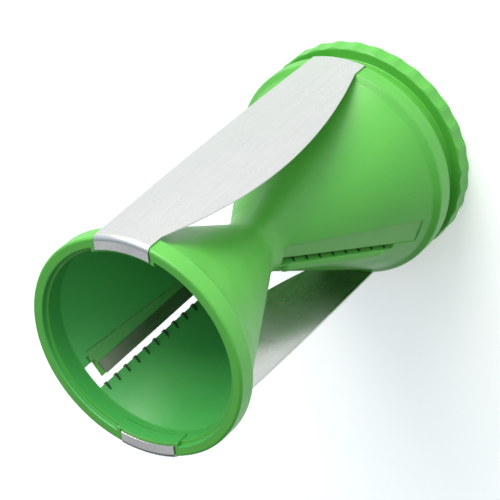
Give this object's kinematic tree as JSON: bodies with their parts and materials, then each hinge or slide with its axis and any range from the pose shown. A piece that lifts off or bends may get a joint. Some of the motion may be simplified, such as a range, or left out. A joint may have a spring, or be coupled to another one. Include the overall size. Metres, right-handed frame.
{
  "type": "spiral vegetable slicer",
  "caption": "Hand-held hourglass spiral slicer with opposed plastic funnels, steel side bands, a blade and julienne teeth along each cone, and a fluted food-holder cap.",
  "frame": {"origin": "centre of the ring that the cap stands on, on the axis of the funnels", "axes": "+Z along the axis from the cap to the open mouth; +X and -X point at the middle of the steel bands"},
  "size_m": [0.069, 0.0682, 0.124],
  "materials": {
    "green_plastic": "semi-gloss leaf green",
    "holder_plastic": "satin leaf green",
    "band_steel": "satin, brushed along the length",
    "blade_steel": "fine ground",
    "comb_steel": "dull stamped",
    "pin_steel": "bright drawn"
  },
  "bodies": {
    "cap": {"cap_shell": "green_plastic", "cap_cover": "green_plastic", "spike_carrier": "holder_plastic", "prong_1": "pin_steel", "prong_2": "pin_steel", "prong_3": "pin_steel", "prong_4": "pin_steel", "prong_5": "pin_steel", "prong_6": "pin_steel"},
    "spike": {"centre_spike": "pin_steel", "spike_washer": "pin_steel"},
    "slicer": {"upper_funnel": "green_plastic", "upper_blade_holder": "holder_plastic", "upper_blade": "blade_steel", "upper_julienne_comb": "comb_steel", "lower_funnel": "green_plastic", "lower_blade_holder": "holder_plastic", "lower_blade": "blade_steel", "lower_julienne_comb": "comb_steel", "steel_band_right": "band_steel", "steel_band_left": "band_steel"}
  },
  "joints": [
    {"name": "cap_spin", "type": "hinge", "parent": "cap", "child": "spike", "pos_m": [0, 0, 0], "axis": [0, 0, 1], "continuous": true},
    {"name": "body_lift", "type": "slide", "parent": "spike", "child": "slicer", "axis": [0, 0, 1], "range_m": [0, 0.045]}
  ]
}
